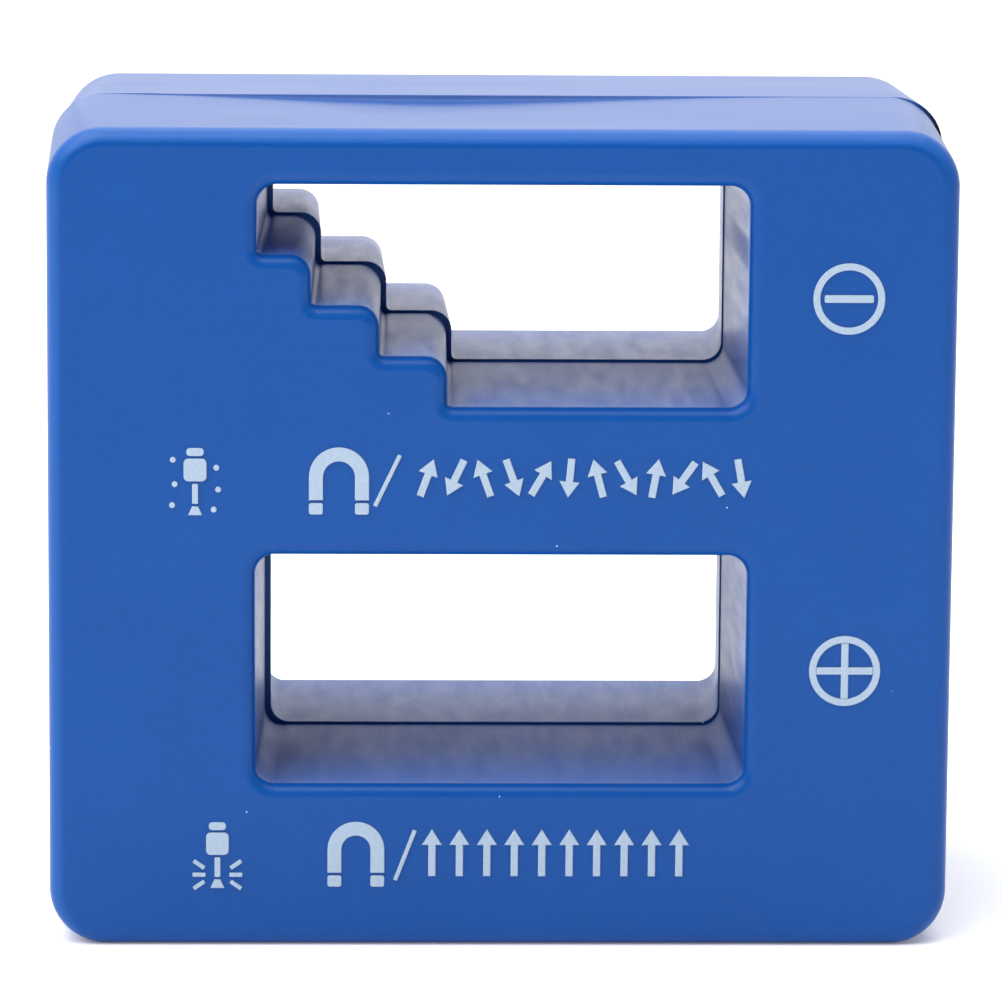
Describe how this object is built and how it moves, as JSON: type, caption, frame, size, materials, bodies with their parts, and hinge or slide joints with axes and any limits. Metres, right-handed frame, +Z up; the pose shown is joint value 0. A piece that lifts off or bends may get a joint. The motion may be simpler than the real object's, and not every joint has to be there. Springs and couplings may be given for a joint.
{
  "type": "magnetizer demagnetizer block",
  "caption": "Small upright block of bonded moulded shells around ferrite magnets, with a plain through tunnel below and a stepped through tunnel above.",
  "frame": {"origin": "middle of the flat base that the block stands on, on the parting plane between the two shells", "axes": "+X to the right of the printed face, +Y from the printed face to the back, +Z up"},
  "size_m": [0.052, 0.029, 0.0473],
  "materials": {
    "blue_shell": "moulded satin blue ABS",
    "legend_ink": "pale pad-printed ink",
    "ferrite": "sintered dark grey ferrite",
    "epoxy": "cured amber epoxy",
    "bond_film": "solvent cement stained blue"
  },
  "bodies": {
    "root": {"front_shell": "blue_shell", "rear_shell": "blue_shell", "left_magnet": "ferrite", "right_magnet": "ferrite", "left_magnet_adhesive": "epoxy", "right_magnet_adhesive": "epoxy", "seam_adhesive": "bond_film"}
  },
  "joints": []
}
